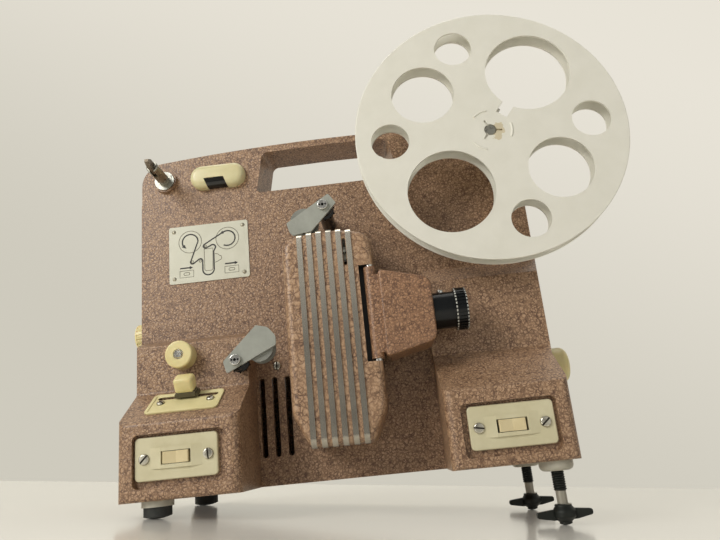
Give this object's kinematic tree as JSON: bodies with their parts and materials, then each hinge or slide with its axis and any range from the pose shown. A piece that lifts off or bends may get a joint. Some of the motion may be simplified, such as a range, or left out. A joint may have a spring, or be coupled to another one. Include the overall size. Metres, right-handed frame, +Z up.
{
  "type": "small film projector",
  "caption": "Small-gauge film projector: tilted hammer-tone cast body with a carrying handle, ribbed lamp housing, hinged lens door, guide arms and a film reel.",
  "frame": {"origin": "on the table under the middle of the bounding box", "axes": "+X to the lens side, +Y into the depth from the front with the film path, +Z up from the table; the body leans back so that its lens end is raised"},
  "size_m": [0.3362, 0.137, 0.3297],
  "materials": {
    "hammer_paint": "brown hammer-tone paint on die-cast metal",
    "chrome": "polished plating",
    "black_plastic": "satin black",
    "grey_plastic": "satin light grey",
    "rubber": "dull black",
    "black_steel": "black oxide, dull",
    "strip_metal": "satin, slightly yellowed",
    "bright_steel": "fine turned",
    "lamp_glass": "clear",
    "mirror": "silvered",
    "lens_glass": "coated, clear",
    "black_metal": "black anodised",
    "grey_metal": "satin grey paint",
    "reel_plastic": "light grey, half gloss",
    "ivory_plastic": "aged ivory, half gloss",
    "cream_paint": "cream paint, half gloss",
    "label_sheet": "printed sheet, satin"
  },
  "bodies": {
    "body": {"main_casting": "hammer_paint", "rear_housing": "hammer_paint", "rear_housing_screws": "chrome", "mains_inlet": "black_plastic", "foot_bosses": "grey_plastic", "rubber_feet": "rubber", "lamp_housing": "hammer_paint", "cooling_strips": "strip_metal", "projection_lamp": "lamp_glass", "lamp_holder": "bright_steel", "reflector": "mirror", "condenser": "lens_glass", "film_gate": "chrome", "hinge_pin": "chrome", "spindle_washers": "bright_steel", "lever_plate": "cream_paint", "left_switch_plate": "ivory_plastic", "right_switch_plate": "ivory_plastic", "switch_bodies": "black_plastic", "plate_screws": "chrome", "pilot_hood": "ivory_plastic", "diagram_plate": "label_sheet", "diagram_rivets": "chrome", "motor": "black_metal"},
    "lamp_adjuster": {"lamp_adjust_pin": "bright_steel"},
    "front_tip": {"front_foot_tip": "black_plastic"},
    "front_screw": {"front_foot_screw": "black_steel"},
    "rear_tip": {"rear_foot_tip": "black_plastic"},
    "rear_screw": {"rear_foot_screw": "black_steel"},
    "door": {"lens_door": "hammer_paint"},
    "lens": {"lens_barrel": "black_metal", "lens_glass": "lens_glass", "lens_clamp_screw": "black_metal"},
    "focus": {"focus_ring": "black_metal"},
    "upper_guide": {"upper_arm": "grey_metal", "upper_nut": "chrome"},
    "upper_roll": {"upper_roller": "grey_plastic"},
    "upper_drive": {"upper_sprocket": "black_metal"},
    "lower_guide": {"lower_arm": "grey_metal", "lower_nut": "chrome"},
    "lower_roll": {"lower_roller": "grey_plastic"},
    "lower_drive": {"lower_sprocket": "black_metal"},
    "takeup": {"takeup_spindle": "bright_steel"},
    "latch": {"takeup_latch": "bright_steel"},
    "supply": {"supply_spindle": "bright_steel"},
    "reel": {"reel_front_flange": "reel_plastic", "reel_rear_flange": "reel_plastic", "reel_hub": "reel_plastic"},
    "selector": {"round_knob": "ivory_plastic", "round_knob_screw": "chrome"},
    "speed_lever": {"lever_slide": "black_plastic", "lever_knob": "ivory_plastic"},
    "left_switch": {"left_rocker": "ivory_plastic"},
    "right_switch": {"right_rocker": "ivory_plastic"},
    "inching": {"inching_knob": "ivory_plastic"},
    "framing": {"framing_knob": "ivory_plastic"},
    "rotor": {"motor_rotor": "bright_steel"},
    "shutter_disc": {"shutter": "black_metal"}
  },
  "joints": [
    {"name": "lamp_height", "type": "slide", "parent": "body", "child": "lamp_adjuster", "axis": [-0.1045, 0, 0.9945], "range_m": [-0.0055, 0.0055]},
    {"name": "front_foot_height", "type": "slide", "parent": "body", "child": "front_tip", "axis": [-0.1045, 0, 0.9945], "range_m": [-0.0075, 0.0125]},
    {"name": "front_foot_turn", "type": "hinge", "parent": "front_tip", "child": "front_screw", "pos_m": [0.10619, -0.0555, 0.01363], "axis": [-0.1045, 0, 0.9945], "range_deg": [-2161, 3601]},
    {"name": "rear_foot_height", "type": "slide", "parent": "body", "child": "rear_tip", "axis": [-0.1045, 0, 0.9945], "range_m": [-0.0075, 0.0125]},
    {"name": "rear_foot_turn", "type": "hinge", "parent": "rear_tip", "child": "rear_screw", "pos_m": [0.10619, 0.0365, 0.01363], "axis": [-0.1045, 0, 0.9945], "range_deg": [-2161, 3601]},
    {"name": "door_swing", "type": "hinge", "parent": "body", "child": "door", "pos_m": [0.00305, -0.0543, 0.11671], "axis": [-0.1045, 0, 0.9945], "range_deg": [-100, 0]},
    {"name": "lens_shift", "type": "slide", "parent": "door", "child": "lens", "axis": [0.9945, 0, 0.1045], "range_m": [-0.003, 0.003]},
    {"name": "focus_turn", "type": "hinge", "parent": "lens", "child": "focus", "pos_m": [0.05217, -0.0461, 0.12187], "axis": [0.9945, 0, 0.1045], "range_deg": [-361, 361]},
    {"name": "upper_guide_swing", "type": "hinge", "parent": "body", "child": "upper_guide", "pos_m": [-0.03008, -0.054, 0.18884], "axis": [0, 1, 0], "range_deg": [0, 35]},
    {"name": "upper_roll_spin", "type": "hinge", "parent": "upper_guide", "child": "upper_roll", "pos_m": [-0.04234, -0.048, 0.1789], "axis": [0, 1, 0], "continuous": true},
    {"name": "upper_drive_spin", "type": "hinge", "parent": "body", "child": "upper_drive", "pos_m": [-0.03008, -0.048, 0.18884], "axis": [0, 1, 0], "continuous": true},
    {"name": "lower_guide_swing", "type": "hinge", "parent": "body", "child": "lower_guide", "pos_m": [-0.0806, -0.054, 0.08982], "axis": [0, 1, 0], "range_deg": [-35, 0]},
    {"name": "lower_roll_spin", "type": "hinge", "parent": "lower_guide", "child": "lower_roll", "pos_m": [-0.06694, -0.048, 0.09772], "axis": [0, 1, 0], "continuous": true},
    {"name": "lower_drive_spin", "type": "hinge", "parent": "body", "child": "lower_drive", "pos_m": [-0.0806, -0.048, 0.08982], "axis": [0, 1, 0], "continuous": true},
    {"name": "takeup_spin", "type": "hinge", "parent": "body", "child": "takeup", "pos_m": [-0.15044, -0.0255, 0.22426], "axis": [0, 1, 0], "continuous": true},
    {"name": "latch_fold", "type": "hinge", "parent": "takeup", "child": "latch", "pos_m": [-0.15044, -0.0365, 0.22426], "axis": [0.9945, 0, 0.1045], "range_deg": [0, 90]},
    {"name": "supply_spin", "type": "hinge", "parent": "body", "child": "supply", "pos_m": [0.0791, -0.0255, 0.24074], "axis": [0, 1, 0], "continuous": true},
    {"name": "reel_removal", "type": "slide", "parent": "supply", "child": "reel", "axis": [0, -1, 0], "range_m": [0, 0.04]},
    {"name": "selector_turn", "type": "hinge", "parent": "body", "child": "selector", "pos_m": [-0.11871, -0.037, 0.09456], "axis": [0, 1, 0], "range_deg": [0, 90]},
    {"name": "speed_shift", "type": "slide", "parent": "body", "child": "speed_lever", "axis": [0.9945, 0, 0.1045], "range_m": [-0.0115, 0.0115]},
    {"name": "left_switch_rock", "type": "hinge", "parent": "body", "child": "left_switch", "pos_m": [-0.10761, -0.0614, 0.03399], "axis": [-0.1045, 0, 0.9945], "range_deg": [-8, 8]},
    {"name": "right_switch_rock", "type": "hinge", "parent": "body", "child": "right_switch", "pos_m": [0.07981, -0.0614, 0.05218], "axis": [-0.1045, 0, 0.9945], "range_deg": [-8, 8]},
    {"name": "inching_turn", "type": "hinge", "parent": "body", "child": "inching", "pos_m": [-0.15679, 0.0036, 0.11439], "axis": [0.9945, 0, 0.1045], "continuous": true},
    {"name": "framing_turn", "type": "hinge", "parent": "body", "child": "framing", "pos_m": [0.11695, 0.0035, 0.09299], "axis": [0.9945, 0, 0.1045], "range_deg": [-60, 60]},
    {"name": "rotor_spin", "type": "hinge", "parent": "body", "child": "rotor", "pos_m": [0.03459, 0.0345, 0.08252], "axis": [0.9945, 0, 0.1045], "continuous": true},
    {"name": "shutter_spin", "type": "hinge", "parent": "body", "child": "shutter_disc", "pos_m": [-0.0075, -0.0035, 0.1156], "axis": [0.9945, 0, 0.1045], "continuous": true}
  ],
  "couplings": [
    {"joint": "front_foot_turn", "follows": "front_foot_height", "rad_per_m": 5026.5},
    {"joint": "rear_foot_turn", "follows": "rear_foot_height", "rad_per_m": 5026.5},
    {"joint": "focus_turn", "follows": "lens_shift", "rad_per_m": 2094.4},
    {"joint": "inching_turn", "follows": "shutter_spin", "ratio": -0.6},
    {"joint": "upper_drive_spin", "follows": "shutter_spin", "ratio": 0.1},
    {"joint": "lower_drive_spin", "follows": "shutter_spin", "ratio": 0.1}
  ]
}
